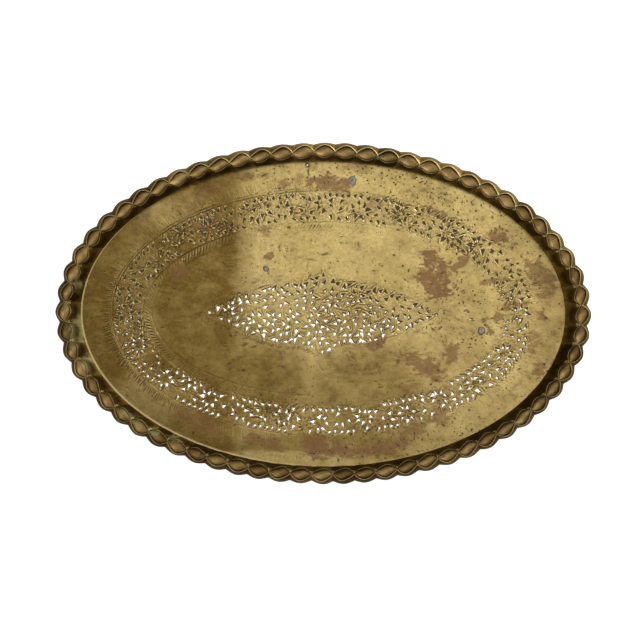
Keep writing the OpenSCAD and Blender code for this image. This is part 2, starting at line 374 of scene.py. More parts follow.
def rimPiece(name, node, first, last):
    # one stretch of the swept sheet, with an upper and an under side
    count = len(rimGrid)
    upper = range(first, last + 1)
    lower = sorted(set(list(range(first, last + 1, 3)) + [last]), reverse=True)
    loop = [rimGrid[:, c] for c in upper] + [rimUnder[:, c] for c in lower]
    normals = [rimNormals[:, c] for c in upper] + [rimUnderNormals[:, c] for c in lower]
    wearAndSheen = [rimWearAndSheen[:, c] for c in upper] + [0 * rimWearAndSheen[:, c] for c in lower]
    grime = [rimGrimeAndShade[:, c] for c in upper] + [0 * rimGrimeAndShade[:, c] + 0.6 for c in lower]
    width = len(loop)
    index = np.arange(count * width).reshape(count, width)
    following = np.roll(index, -1, 0)
    beside = np.roll(index, -1, 1)
    faces = np.stack([index, beside, np.roll(following, -1, 1), following], -1).reshape(-1, 4)
    piece = newPiece(name, np.stack(loop, 1).reshape(-1, 3), faces, [node])
    piece.data.normals_split_custom_set_from_vertices(np.stack(normals, 1).reshape(-1, 3).tolist())
    setMark(piece, "wearAndSheen", np.stack(wearAndSheen, 1).ravel())
    setMark(piece, "grime", np.stack(grime, 1).ravel())
    setMark(piece, "dullAndPaintedLight", np.stack([rimDullAndPaintedLight[:, c] for c in list(upper) + lower], 1).ravel())
    setMark(piece, "stain", np.full(count * width, -2.0))
    setMark(piece, "deposit", areaField(deposits, np.stack(loop, 1).reshape(-1, 3)[:, :2])[0])
    return piece


# the wall stops three columns short of the inner ridge, and the cells end four past the outer one
wallEnd = rim["wallSteps"] - 3
cellEnd = rim["wallSteps"] + rim["cellSteps"] + 3
rimGrid, rimNormals, rimWearAndSheen, rimGrimeAndShade, rimDullAndPaintedLight = sweepRim(rim)
rimUnder, rimUnderNormals = underRim(rimGrid, rimNormals, rim["sheet"])
wall = rimPiece("wallSheet", "side_wall", 0, wallEnd)
cells = rimPiece("cellRow", "pie_crust_cells", wallEnd, cellEnd)
turnedEdge = rimPiece("turnedEdge", "turned_edge", cellEnd, rimGrid.shape[1] - 1)


# the floor: four zones of the same sheet, pierced and chased by hand

piercing = {
    "tear": (7.2 * mm, 4.8 * mm),       # length and width of a dent, within which the sheet tears
    "small": (6.0 * mm, 4.1 * mm),      # those in rows along the outlines
    "barely": 0.2,                      # how far a timid blow opens its dent
    "fully": 0.75,
    "closed": 0.32,                     # below this the sheet is only dented
    "slant": (-0.75 * mm, -0.7 * mm),   # the chisel leaned, so every dent opens to one side
    "rosettes": 24,
    "petals": 8,
    "rosetteReach": 11.0 * mm,          # middle of a rosette to its tears
    "strayRosette": 2.6 * mm,
    "rowPitch": 8.6 * mm,
    "rowInset": 4.6 * mm,
    "rowGap": 0.2,                      # share of a row that is left out
    "borderGap": 8.9 * mm,              # least distance between two tears
    "medallionGap": 8.0 * mm,
    "plainBoss": 6.0 * mm,              # unpierced middle of a spray
    "loose": 0.3,                       # how far tears stray from an even pattern
    "outlineRoom": 3.6 * mm,            # metal left between the medallion's outline and its tears
    "borderTries": 9000,                # blows tried where there may be room left
    "medallionTries": 7000,
    # middles of the medallion's sprays (mm)
    "sprays": [(-128, 0), (-106, 20), (-92, -18), (-71, -8), (-62, 22), (-42, -12), (-20, 22), (-7, -18),
               (14, 18), (34, -6), (46, 24), (59, -21), (71, 9), (96, -10), (122, 1)],
    "seed": 5,
}

chasing = {
    "depth": 0.8 * mm,
    "width": 0.58 * mm,
    "tickPitch": 4.6 * mm,
    "tickLength": 8.6 * mm,
    "rayPitch": 2.8 * mm,
    "rayLength": 15.0 * mm,
    "outerLine": -3.2 * mm,             # second lines: outside the border's outer outline
    "innerLine": 11.8 * mm,             # and inside its inner one
    "nicks": 420,
    "dishDepth": 0.85 * mm,             # metal pressed down in and round each tear
    "dishWidth": 1.1 * mm,
    "bulge": 0.5 * mm,                  # slow waves of a hand-flattened floor
    "least": 0.3 * mm,                  # thinnest metal under a groove
}


def medallionHalf(x):
    # half width of the medallion at distance x from its middle
    shoulderX, shoulderY = 0.2125 * medallionX, 0.724 * medallionY
    x = np.abs(x)
    cusp = shoulderY + (medallionY - shoulderY) * np.clip(1 - x / shoulderX, 0, 1) ** 1.6
    tail = shoulderY * np.cos(np.pi / 2 * np.clip((x - shoulderX) / (medallionX - shoulderX), 0, 1))
    return np.where(x < shoulderX, cusp, tail)


def medallionRing(count=90):
    x = medallionX * np.linspace(-1, 1, 2 * count + 1)
    upper = np.column_stack([x, medallionHalf(x)])
    lower = np.column_stack([x, -medallionHalf(x)])[-2:0:-1]
    return np.concatenate([upper, lower])


# a chisel's tear: pointed at one end, square at the other (share of length, share of width)
tearSide = [(-0.5, 0), (-0.25, 0.13), (0.05, 0.28), (0.32, 0.44), (0.46, 0.5), (0.52, 0.36)]


def tearRing(size, lean, opening=1.0):
    # the dent that the chisel leaves, or, nearer its square end, the opening in it
    outline = tearSide + [(0.54, 0)] + [(x, -y) for x, y in tearSide[:0:-1]]
    ring = (np.array(outline) * opening + [0.46 * (1 - opening), 0]) * size
    ring[:, 1] += lean * ring[:, 0]
    return ring


def openness(place):
    # the blows went less deep along the top, at the left end and at the upper right of the medallion
    x, y = place[0] / mm, place[1] / mm
    share = 0.42 - y / 170 - (0.25 if x < -215 else 0)
    if abs(x) < medallionX / mm and abs(y) < medallionY / mm:
        share = 0.85 - (y + 0.25 * x) / 70
    return piercing["barely"] + (piercing["fully"] - piercing["barely"]) * min(max(share, 0), 1)


def moved(points, place, turn):
    c, s = math.cos(turn), math.sin(turn)
    return points @ np.array([[c, s], [-s, c]]) + np.asarray(place)


def heading(turn):
    return np.array([math.cos(turn), math.sin(turn)])


class Ornament:
    # tears to pierce and grooves to chase, gathered zone by zone
    def __init__(self, seed):
        self.tears, self.rings, self.grooves = [], [], []
        self.dice = random.Random(seed)

    def pierce(self, place, turn, size, gap, loose):
        dice = self.dice
        place = (place[0] + dice.gauss(0, loose) * 3 * mm, place[1] + dice.gauss(0, loose) * 3 * mm)
        turn += dice.gauss(0, loose) * 1.5
        grow = min(max(1 + dice.gauss(0, loose) * 0.55, 0.72), 1.3)
        size = (size[0] * grow, size[1] * grow * (1 + dice.gauss(0, loose) * 0.5))
        lean = dice.gauss(0, 0.22)
        opening = openness(place) * dice.uniform(0.86, 1.08)
        if any(math.dist(other[0], place) < gap for other in self.tears):
            return False
        self.tears.append((place, turn, size, lean))
        slant = np.array(piercing["slant"]) * (1 - opening) * 2
        if opening > piercing["closed"]:
            self.rings.append(moved(tearRing(size, lean, opening), place + slant, turn))
        for side in (-1, 1):        # a chased line along each flank
            flank = np.array([[-0.95 * size[0], 0.3 * side * size[1]],
                              [-0.1 * size[0], 0.72 * side * size[1]],
                              [0.85 * size[0], 1.02 * side * size[1]]])
            self.chase(moved(flank, place, turn), dice.uniform(0.5, 1))
        return True

    def spray(self, place, strokes, start, end, depth):
        # strokes that fan out from a boss
        first = self.dice.uniform(0, 1)
        for i in range(strokes):
            a = 2 * math.pi * (i + first + self.dice.uniform(-0.2, 0.2)) / strokes
            reach = end * self.dice.uniform(0.75, 1.1)
            bend = self.dice.uniform(-0.16, 0.16)
            path = [place + start * heading(a), place + (start + reach) / 2 * heading(a + bend / 2),
                    place + reach * heading(a + bend)]
            self.chase(path, depth * self.dice.uniform(0.6, 1.1))

    def fill(self, inside, low, high, bosses, gap, size, p, tries):
        # tears wherever there is room left, most of them pointing at the nearest boss
        for _ in range(tries):
            place = np.array([self.dice.uniform(low[0], high[0]), self.dice.uniform(low[1], high[1])])
            if not inside(place[None])[0]:
                continue
            boss = min(bosses, key=lambda b: math.dist(b, place))
            if math.dist(boss, place) < p["plainBoss"]:
                continue
            away = boss - place
            aim = math.atan2(away[1], away[0]) + self.dice.choice((0, 0, 0, 0.9, -0.9))
            if self.pierce(place, aim, size, gap, 0.1):
                self.chase([place + 0.5 * gap * heading(aim), place + 1.05 * gap * heading(aim)],
                           self.dice.uniform(0.4, 0.8))

    def chase(self, path, depth=1.0, width=1.0, runsOut=True):
        self.grooves.append((np.asarray(path), depth, width, runsOut))


def nextOn(halfX, halfY, share, inset=0.0):
    # a place on an oval and the outward direction there
    turn = float(ovalTurns(halfX, halfY, share))
    place = ovalAt(halfX, halfY, turn, inset)
    return place, math.atan2(halfX * math.sin(turn), halfY * math.cos(turn))


def ovalLength(halfX, halfY):
    ring = ovalRing(halfX, halfY, 400)
    return np.linalg.norm(ring - np.roll(ring, 1, 0), axis=1).sum()


def borderOrnament(art, p):
    dice = art.dice
    bosses = []
    for k in range(p["rosettes"]):
        place, aim = nextOn(bandMidX, bandMidY, (k + dice.uniform(-0.12, 0.12)) / p["rosettes"])
        place = place + p["strayRosette"] * (-1) ** k * heading(aim)
        bosses.append(place)
        # a smaller fan stands between two rosettes, against the inner or the outer line
        between, aim = nextOn(bandMidX, bandMidY, (k + 0.5 + dice.uniform(-0.1, 0.1)) / p["rosettes"])
        bosses.append(between - 9 * mm * (-1) ** k * heading(aim))
    for boss in bosses[::2]:
        first = dice.uniform(0, 1)
        for i in range(p["petals"]):
            a = 2 * math.pi * (i + first) / p["petals"]
            art.pierce(boss + p["rosetteReach"] * heading(a), a + math.pi, p["tear"],
                       0.8 * p["borderGap"], p["loose"])
    # rows of small tears along the border's two lines, in groups
    for halfX, halfY, inset, lean in ((bandOutX, bandOutY, p["rowInset"], 1.0),
                                      (bandInX, bandInY, -p["rowInset"], -0.8)):
        count = int(ovalLength(halfX, halfY) / p["rowPitch"])
        for k in range(count):
            if (k % 11) / 11 < p["rowGap"]:
                continue
            place, aim = nextOn(halfX, halfY, k / count, inset)
            art.pierce(place, aim + math.pi / 2 + lean, p["small"], 0.82 * p["rowPitch"], 0.1)

    def inside(points):
        edge = p["rowInset"]
        return (insideOval(points, bandOutX - edge, bandOutY - edge)
                & ~insideOval(points, bandInX + edge, bandInY + edge))

    art.fill(inside, (-bandOutX, -bandOutY), (bandOutX, bandOutY), bosses,
             p["borderGap"], p["tear"], p, p["borderTries"])
    for boss in bosses:
        art.spray(boss, 13, 2.2 * mm, 9 * mm, 1.1)
        art.spray(boss, 13, 9 * mm, 17 * mm, 0.95)


def medallionOrnament(art, p):
    bosses = [np.array(b) * mm for b in p["sprays"]]
    for side in (-1, 1):
        tip = (side * (medallionX - 8 * mm), 0)
        cusp = (0, side * (medallionY - 5 * mm))
        art.pierce(tip, math.pi / 2 - side * math.pi / 2, p["small"], 5 * mm, 0.05)
        art.pierce(cusp, -side * math.pi / 2, p["small"], 5 * mm, 0.05)
    # a row of tears follows the medallion's outline
    edge = medallionRing(60)
    travelled = np.cumsum(np.linalg.norm(edge - np.roll(edge, 1, 0), axis=1))
    for s in np.arange(0, travelled[-1], p["rowPitch"]):
        x, y = edge[min(int(np.searchsorted(travelled, s)), len(edge) - 1)]
        place = (x * (1 - 3 * mm / medallionX), math.copysign(max(abs(y) - p["outlineRoom"], 0), y))
        if abs(x) < medallionX - 6 * mm:
            aim = math.atan2(-y, -x * 0.4) + art.dice.choice((0, 0.8, -0.8))
            art.pierce(place, aim, p["tear"], 0.8 * p["rowPitch"], 0.3)
    for boss in bosses:
        count = art.dice.choice((6, 7, 8))
        for i in range(count):
            a = 2 * math.pi * i / count
            place = boss + art.dice.uniform(8, 10) * mm * heading(a)
            if abs(place[1]) < medallionHalf(place[0]) - p["outlineRoom"]:
                art.pierce(place, a + math.pi, p["tear"], 0.92 * p["medallionGap"], 0.14)

    def inside(points):
        return np.abs(points[:, 1]) < medallionHalf(points[:, 0]) - p["outlineRoom"]

    art.fill(inside, (-medallionX, -medallionY), (medallionX, medallionY), bosses,
             p["medallionGap"], p["tear"], p, p["medallionTries"])
    for boss in bosses:
        art.spray(boss, 12, 2 * mm, 9 * mm, 0.9)


def nicksAndRings(art, c):
    # a life's knocks and scratches, thickest at the upper right, and three small rings
    dice = art.dice
    for _ in range(c["nicks"]):
        place = np.array([dice.gauss(70, 150), dice.gauss(40, 110)]) * mm
        if math.hypot(place[0] / floorX, place[1] / floorY) > 0.97:
            continue
        turn = dice.choice((0.3, 0.3, -0.6, 1.4)) + dice.gauss(0, 0.5)
        length = min(abs(dice.gauss(0, 4.5)) + 1.5, 16) * mm
        art.chase([place, place + 0.5 * length * heading(turn + 0.1), place + length * heading(turn)],
                  dice.uniform(0.2, 0.75), 0.7)
    for place in ((292, -88), (207, -56), (235, -6)):
        ring = [np.array(place) * mm + 2.3 * mm * heading(a) for a in np.linspace(0, 2 * math.pi, 12)]
        art.chase(ring, 0.6, 0.8)


def crispness(place):
    # the lines and ticks are crisp at the left end, softer above, and almost gone elsewhere
    x, y = place[0] / bandOutX, place[1] / bandOutY
    return min(max(0.3 - 0.75 * x + (0.35 * y if y > 0 else 0.1 * y), 0.12), 1)


def ovalLine(art, halfX, halfY, inset, depth, width):
    # a line all round an oval, in short strokes that fade where it is rubbed away
    ring = ovalRing(halfX, halfY, 500, inset)
    for k in range(0, 500, 5):
        stroke = np.take(ring, range(k, k + 6), 0, mode="wrap")
        art.chase(stroke, depth * crispness(ring[k]), width, False)


def linesAndTicks(art, c):
    dice = art.dice
    ovalLine(art, bandOutX, bandOutY, 0, 0.75, 1)
    ovalLine(art, bandInX, bandInY, 0, 0.75, 1)
    ovalLine(art, bandOutX, bandOutY, c["outerLine"], 0.5, 0.8)
    ovalLine(art, bandInX, bandInY, c["innerLine"], 0.5, 0.8)
    ring = medallionRing()
    art.chase(np.vstack([ring, ring[:1]]), 0.3, 0.8, False)
    # slanted ticks inside the border's inner line
    count = int(ovalLength(bandInX, bandInY) / c["tickPitch"])
    for k in range(count):
        place, aim = nextOn(bandInX, bandInY, k / count, 2.2 * mm)
        bow = np.array([[0, 0], [-0.5, 0.25], [-1, 0.72]]) * c["tickLength"] * dice.uniform(0.85, 1.1)
        force = crispness(place) * dice.uniform(0.7, 1.1)
        art.chase(moved(bow, place, aim + dice.gauss(0, 0.08)), force, 1.15)
    # fine rays outside its outer line, deepest at the left end
    count = int(ovalLength(bandOutX, bandOutY) / c["rayPitch"])
    for k in range(count):
        place, aim = nextOn(bandOutX, bandOutY, k / count, -3.5 * mm)
        leftness = min(max(0.1 - place[0] / bandOutX, 0), 1)
        length = c["rayLength"] * dice.uniform(0.4, 1.1)
        aim += dice.gauss(0.05, 0.12)
        if dice.random() < 0.45 + leftness:
            art.chase(moved(np.array([[0, 0], [length, 0.08 * length]]), place, aim),
                      0.1 + 0.42 * leftness + 0.2 * dice.random(), 0.8)


def medallionTicks(art):
    # short ticks round the medallion
    dice = art.dice
    ring = medallionRing(60)
    for i in range(1, len(ring) - 1):
        tangent = ring[i + 1] - ring[i - 1]
        size = np.linalg.norm(tangent)
        if size < 1e-6 or abs(ring[i][0]) > 0.97 * medallionX:
            continue
        tangent = tangent / size
        out = np.array([-tangent[1], tangent[0]])
        start = ring[i] + out * dice.uniform(2.4, 3.6) * mm
        force = 0.85 if ring[i][1] < 0 and ring[i][0] < 0 else 0.35
        end = start + out * 4.6 * mm + tangent * 2.8 * mm
        art.chase([start, end], force * dice.uniform(0.5, 1.2), 0.9)
    # a feather beyond each tip: a bent stem with barbs on both sides
    for side in (-1, 1):
        stem = sampled(np.array([(medallionX - 4 * mm, 0), (medallionX + 9 * mm, -2.5 * mm),
                                 (medallionX + 21 * mm, -9 * mm)]) * [side, 1], 2.4 * mm)
        art.chase(stem, 0.5)
        for i, root in enumerate(stem[1:-1]):
            for lean in (-1, 1):
                barb = (8.5 - 0.4 * i) * mm * heading(math.radians(-28 + 38 * lean)) * [side, 1]
                art.chase([root, root + 0.55 * barb, root + barb + [0, -1.2 * mm * lean]], 0.45)
    # and a small loop below its lower cusp
    loop = [(5.5 * mm * math.sin(a), -medallionY - 11 * mm + 8 * mm * math.cos(a))
            for a in np.linspace(0.5, 2 * math.pi - 0.5, 18)]
    art.chase(loop, 0.45, 0.8)


def sampled(path, step):
    path = np.asarray(path)
    lengths = np.concatenate([[0], np.cumsum(np.linalg.norm(np.diff(path, axis=0), axis=1))])
    count = max(2, int(lengths[-1] / step) + 1)
    at = np.linspace(0, lengths[-1], count)
    return np.column_stack([np.interp(at, lengths, path[:, 0]), np.interp(at, lengths, path[:, 1])])


def sides(path, offset):
    ahead = np.gradient(path, axis=0)
    out = np.column_stack([-ahead[:, 1], ahead[:, 0]])
    out /= np.maximum(np.linalg.norm(out, axis=1, keepdims=True), 1e-9)
    return [path + out * offset, path - out * offset]


def nearest(tree, points):
    found = [tree.find((p[0], p[1], 0)) for p in points]
    return np.array([f[2] for f in found]), np.array([f[1] for f in found])


def treeOf(points):
    tree = KDTree(len(points))
    for i, p in enumerate(points):
        tree.insert((p[0], p[1], 0), i)
    tree.balance()
    return tree


art = Ornament(piercing["seed"])
borderOrnament(art, piercing)
medallionOrnament(art, piercing)
linesAndTicks(art, chasing)
medallionTicks(art)
nicksAndRings(art, chasing)
print("chased", len(art.grooves), "lines and pierced", len(art.tears), "tears")

dents = [moved(tearRing(size, lean), place, turn) for place, turn, size, lean in art.tears]
dents = [sampled(np.vstack([dent, dent[:1]]), 0.6 * mm) for dent in dents]
dentOwner = np.concatenate([np.full(len(dent), i) for i, dent in enumerate(dents)])
dentTree = treeOf(np.concatenate(dents))


def worn(points):
    # where the chasing is still crisp (1) and where polishing has almost rubbed it out (0)
    x, y = points[:, 0] / 60 / mm, points[:, 1] / 60 / mm
    wave = (0.85 + 0.2 * np.sin(2.3 * x + 1.1 * y) + 0.2 * np.sin(3.7 * y - 1.9 * x + 2)
            + 0.2 * np.sin(5.9 * x + 4.3 * y + 1))
    return np.clip(wave, 0.4, 1.15)


def tapered(count):
    # a chisel stroke starts deep and runs out
    return np.interp(np.arange(count) / count, [0, 0.15, 0.6, 1], [0.6, 1, 0.9, 0.25])


grooveSamples = [(sampled(stroke[0], 0.6 * mm), *stroke[1:]) for stroke in art.grooves]
groovePoints = np.concatenate([s[0] for s in grooveSamples])
grooveDepth = np.concatenate([s[1] * (tapered(len(s[0])) if s[3] else np.ones(len(s[0])))
                              for s in grooveSamples])
grooveDepth = grooveDepth * worn(groovePoints)
grooveWidth = np.concatenate([np.full(len(s[0]), s[2]) for s in grooveSamples])
grooveTree = treeOf(groovePoints)


def bulge(points):
    # slow waves that fade out at the foot of the wall
    x, y = points[:, 0] / floorX, points[:, 1] / floorY
    wave = (0.5 + 0.2 * np.sin(5.1 * x + 1.3) * np.cos(3.7 * y + 0.4)
            + 0.16 * np.sin(9.3 * x - 4.4 * y) + 0.12 * np.cos(7.7 * y + 5.2 * x + 2.0))
    rest = np.clip(1 - x ** 2 - y ** 2, 0, 1)
    return chasing["bulge"] * np.clip(wave, 0, 1) * np.clip(rest * 5, 0, 1) ** 2


def chasedHeight(points):
    # height of the upper face, each point's dirt and painted shade, and how worn
    c = chasing
    grooveAway, nearGroove = nearest(grooveTree, points)
    dentAway, nearDent = nearest(dentTree, points)
    reach = grooveAway / (c["width"] * grooveWidth[nearGroove])
    groove = grooveDepth[nearGroove] * np.exp(-reach ** 2)
    burr = grooveDepth[nearGroove] * np.exp(-((reach - 2.0) / 0.75) ** 2)
    # the place in the nearest tear's own frame tells whether the point lies in its dent
    place, turn, size, lean = (np.array(part) for part in zip(*art.tears))
    owner = dentOwner[nearDent]
    local = points - place[owner]
    cosine, sine = np.cos(turn[owner]), np.sin(turn[owner])
    along = (local[:, 0] * cosine + local[:, 1] * sine)
    aside = local[:, 1] * cosine - local[:, 0] * sine - lean[owner] * along
    along, aside = along / size[owner, 0], np.abs(aside) / size[owner, 1]
    inDent = (along < 0.5) & (aside < np.interp(along, *zip(*tearSide), left=0))
    depth = np.where(inDent, 1, np.exp(-(dentAway / c["dishWidth"]) ** 2) * 0.4)
    depth = depth * np.clip(0.55 + along, 0.35, 0.9)
    lip = np.where(inDent, 0, np.exp(-((dentAway - 0.5 * mm) / (0.4 * mm)) ** 2))
    level = bulge(points)
    height = sheetTop + level - c["depth"] * groove - c["dishDepth"] * depth + 0.16 * mm * burr
    height = np.maximum(height, level + c["least"])
    # the grooves hold dirt; every dent's inside gets painted shade, a dark grey that stands for the
    # shadow in a tear
    grime = np.clip(groove + np.where(inDent, 1.15, 0), 0, 1.15)
    hole = np.linalg.norm(points - hangPlace, axis=1)
    grime = np.maximum(grime, 1.1 * np.exp(-(hole / clogging["collar"]) ** 4))
    wearAndSheen = np.clip(0.95 * burr + 0.5 * lip - 0.8 * groove - inDent, 0, 1)
    return height, groove, grime, wearAndSheen


def thinned(points, pitch):
    # one point in each small cell, so that no two crowd each other
    cell = np.round(points / pitch).astype(int)
    _, first = np.unique(cell, axis=0, return_index=True)
    return points[np.sort(first)]


def turnsLeft(ring):
    beyond = np.roll(ring, -1, 0)
    return (ring[:, 0] * beyond[:, 1] - ring[:, 1] * beyond[:, 0]).sum() > 0


floorMesh = {
    "dentRings": (0.86, 1.14, 0.4),     # a dent's outline is drawn again at these shares of its size
    "dentPitch": 0.56 * mm,             # least distance between points at dents
    "collar": 1.42,                     # a ring of points round each opening, as a share of its size
    "lineRoom": 0.5,                    # shares of a pitch that points keep from those laid before
    "evenRoom": 0.62,
    "outlineRoom": 0.42 * mm,           # and this much from every outline
    "stray": 0.16,                      # how far the even points stray, in pitches
    "seed": 3,
}


def floorZone(rings, inside, pitch, least):
    # rings are the zone's outlines; tears and grooves that lie inside it shape the rest
    m = floorMesh
    holes = [ring for ring in art.rings if inside(ring.mean(0)[None])[0]]
    holes += [d for d in drills if inside(d.mean(0)[None])[0]]
    collars = [d.mean(0) + (d - d.mean(0)) * m["collar"] for d in holes]
    lines = []
    for path, _, width, _ in grooveSamples:
        lines += [path[::2]] + [s[::2] for s in sides(path, 0.8 * mm * width)]
    edges = [dent.mean(0) + (dent - dent.mean(0)) * share for dent in dents for share in m["dentRings"]]
    low, high = rings[0].min(0), rings[0].max(0)
    across = np.arange(low[0], high[0], pitch)
    up = np.arange(low[1], high[1], pitch * 0.866)
    gridX, gridY = np.meshgrid(across, up)
    gridX = gridX + (np.arange(len(up)) % 2)[:, None] * pitch / 2
    dice = np.random.default_rng(m["seed"])
    even = np.column_stack([gridX.ravel(), gridY.ravel()])
    even = even + dice.uniform(-m["stray"], m["stray"], even.shape) * pitch
    fine = np.concatenate(collars + edges)
    fine = thinned(fine[inside(fine)], m["dentPitch"])
    near = treeOf(fine)
    lines = np.concatenate(lines)
    lines = thinned(lines[inside(lines)], least)
    lines = [p for p in lines if near.find((p[0], p[1], 0))[2] > m["lineRoom"] * least]
    fine = np.concatenate([fine, lines])
    even = even[inside(even)]
    near = treeOf(fine)
    even = np.array([p for p in even if near.find((p[0], p[1], 0))[2] > m["evenRoom"] * pitch])
    free = np.concatenate([fine, even])
    bounds = treeOf(np.concatenate([sampled(np.vstack([r, r[:1]]), 0.5 * mm) for r in rings + holes]))
    free = [p for p in free if bounds.find((p[0], p[1], 0))[2] > m["outlineRoom"]]
    corners, areas = [], []
    for ring in rings + holes:
        areas.append(list(range(len(corners), len(corners) + len(ring))))
        corners += [Vector(p) for p in (ring if turnsLeft(ring) else ring[::-1])]
    corners += [Vector(p) for p in free]
    flat, _, faces, _, _, within = delaunay_2d_cdt(corners, [], areas, 0, 1e-7, True)
    faces = [f for f, where in zip(faces, within) if set(where) == {0}]     # metal, not a hole
    used = sorted({v for f in faces for v in f})
    order = {v: i for i, v in enumerate(used)}
    points = np.array([flat[v] for v in used])
    return points, np.array([[order[v] for v in f] for f in faces])


def thickZone(name, node, rings, inside, pitch, least):
    points, faces = floorZone(rings, inside, pitch, least)
    height, groove, grime, wearAndSheen = chasedHeight(points)
    count = len(points)
    # the underside shows each chased line as a faint ridge
    under = np.maximum(bulge(points) + 0.12 * mm * (1 - groove), 0)
    solid = np.concatenate([np.column_stack([points, height]), np.column_stack([points, under])])
    ends = np.concatenate([faces[:, [0, 1]], faces[:, [1, 2]], faces[:, [2, 0]]])
    _, where, times = np.unique(np.sort(ends, axis=1), axis=0, return_index=True, return_counts=True)
    cuts = ends[where[times == 1]]      # ends of the edges that only one face has
    walls = np.column_stack([cuts[:, 1], cuts[:, 0], cuts[:, 0] + count, cuts[:, 1] + count])
    allFaces = faces.tolist() + (faces[:, ::-1] + count).tolist() + walls.tolist()
    piece = newPiece(name, solid, allFaces, [node])
    piece.data.set_sharp_from_angle(angle=math.radians(48))
    flat = np.zeros(count)
    stain, strength = areaField(stains, points)
    setMark(piece, "grime", np.concatenate([np.maximum(grime, footDirtAndShade(points)), flat + 0.35]))
    setMark(piece, "wearAndSheen", np.concatenate([np.maximum(wearAndSheen, 0.75 * foldWearAndHighlight(points)), flat]))
    setMark(piece, "stain", np.concatenate([stain, flat - 2]))
    setMark(piece, "stainStrength", np.concatenate([strength, flat]))
    setMark(piece, "dullAndPaintedLight", np.concatenate([dullnessAndReflection(points), flat + 0.75]))
    setMark(piece, "deposit", np.full(2 * count, -2.0))
    setMark(piece, "pitted", np.concatenate([np.clip(areaField(pitted, points)[0] * 2, 0, 1), flat]))
    return piece


def drillRing(node, count=28):
    low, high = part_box(node)
    place = np.array([(low[0] + high[0]) / 2, (low[1] + high[1]) / 2])
    a = np.arange(count) / count * 2 * math.pi
    return place + (high[0] - low[0]) / 2 * np.column_stack([np.cos(a), np.sin(a)])


hangingHole = next(m for m in frame["record"]["mounts"] if m["name"] == "hanging_hole")
hangPlace = np.array(hangingHole["pos_m"][:2])
clogging = {
    "open": 0.55,           # share of the hanging hole's radius that old polish leaves open
    "collar": 3.4 * mm,     # reach of the dirt round it
}
hangTurn = np.arange(20) / 20 * 2 * math.pi
drills = [drillRing(n) for n in ("solder_plug_right", "solder_plug_top", "solder_plug_left")]
drills.append(hangPlace + clogging["open"] * hangingHole["dims"]["r_mm"] * mm
              * np.column_stack([np.cos(hangTurn), np.sin(hangTurn)]))

floorRing = ovalAt(floorX, floorY, ovalTurns(crestX, crestY, np.arange(768) / 768))
outRing, inRing = ovalRing(bandOutX, bandOutY, 500), ovalRing(bandInX, bandInY, 500)
lozenge = medallionRing()


def inMedallion(p):
    return (np.abs(p[:, 1]) < medallionHalf(p[:, 0])) & (np.abs(p[:, 0]) < medallionX)


def inField(p):
    return insideOval(p, bandInX, bandInY) & ~inMedallion(p)


def inBand(p):
    return insideOval(p, bandOutX, bandOutY) & ~insideOval(p, bandInX, bandInY)


def inMargin(p):
    return insideOval(p, floorX, floorY) & ~insideOval(p, bandOutX, bandOutY)


floorPieces = [
    thickZone("medallionSheet", "pierced_medallion", [lozenge], inMedallion, 1.7 * mm, 0.6 * mm),
    thickZone("fieldSheet", "plain_field", [inRing, lozenge], inField, 2.4 * mm, 0.58 * mm),
    thickZone("borderSheet", "pierced_border", [outRing, inRing], inBand, 2.4 * mm, 1.2 * mm),
    thickZone("marginSheet", "outer_margin", [floorRing, outRing], inMargin, 2.2 * mm, 0.58 * mm),
]

# three old holes filled with solder, which stands a little proud

solderPlugs = {
    # name: node, head's overlap on the sheet, dome height, unevenness, dirt round its edge
    "solderRight": ("solder_plug_right", 0.9 * mm, 1.1 * mm, 0.07, 0.8),
    "solderTop": ("solder_plug_top", 0.7 * mm, 0.8 * mm, 0.16, 0.0),
    "solderLeft": ("solder_plug_left", 0.5 * mm, 0.5 * mm, 0.1, 1.2),
}


